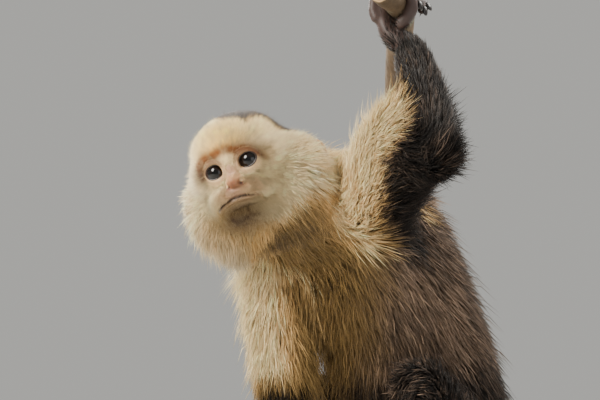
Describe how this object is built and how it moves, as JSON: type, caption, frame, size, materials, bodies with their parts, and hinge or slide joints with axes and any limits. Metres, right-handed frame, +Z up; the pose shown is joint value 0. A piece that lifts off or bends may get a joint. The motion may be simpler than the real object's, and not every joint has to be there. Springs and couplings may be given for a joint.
{
  "type": "white-faced capuchin monkey display model",
  "caption": "Life-size still model of a white-faced capuchin sitting on a cut bough, one arm raised to a side shoot, on a flat display stand.",
  "frame": {"origin": "centre of the underside of the display stand's base", "axes": "+Z up, -Y the way the monkey's body faces, +X to the monkey's left"},
  "size_m": [0.33, 0.3368, 0.6581],
  "materials": {
    "coat_pale": "soft cream-white fur, long and slightly wavy",
    "coat_body": "fur that turns from cream and golden brown at the chest and shoulders to black",
    "coat_dark": "dense black fur with a faint brown sheen",
    "face_skin": "bare pink skin with fine folds",
    "hand_skin": "bare dark brown skin, creased",
    "eye": "wet, very dark brown",
    "bark": "rough brown bark",
    "stand_wood": "dark stained wood, satin",
    "stand_metal": "black satin paint"
  },
  "bodies": {
    "root": {"head": "coat_pale", "neck": "coat_pale", "upper_arm_left": "coat_pale", "upper_arm_right": "coat_pale", "trunk": "coat_body", "forearm_left": "coat_dark", "forearm_right": "coat_dark", "thigh_left": "coat_dark", "thigh_right": "coat_dark", "shin_left": "coat_dark", "shin_right": "coat_dark", "tail_base": "coat_dark", "tail_middle": "coat_dark", "tail_tip": "coat_dark", "nose": "face_skin", "ear_left": "face_skin", "ear_right": "face_skin", "hand_left": "hand_skin", "hand_right": "hand_skin", "foot_left": "hand_skin", "foot_right": "hand_skin", "eye_left": "eye", "eye_right": "eye", "perch": "bark", "perch_shoot": "bark", "stand_base": "stand_wood", "stand_rod_front": "stand_metal", "stand_rod_rear": "stand_metal"}
  },
  "joints": []
}
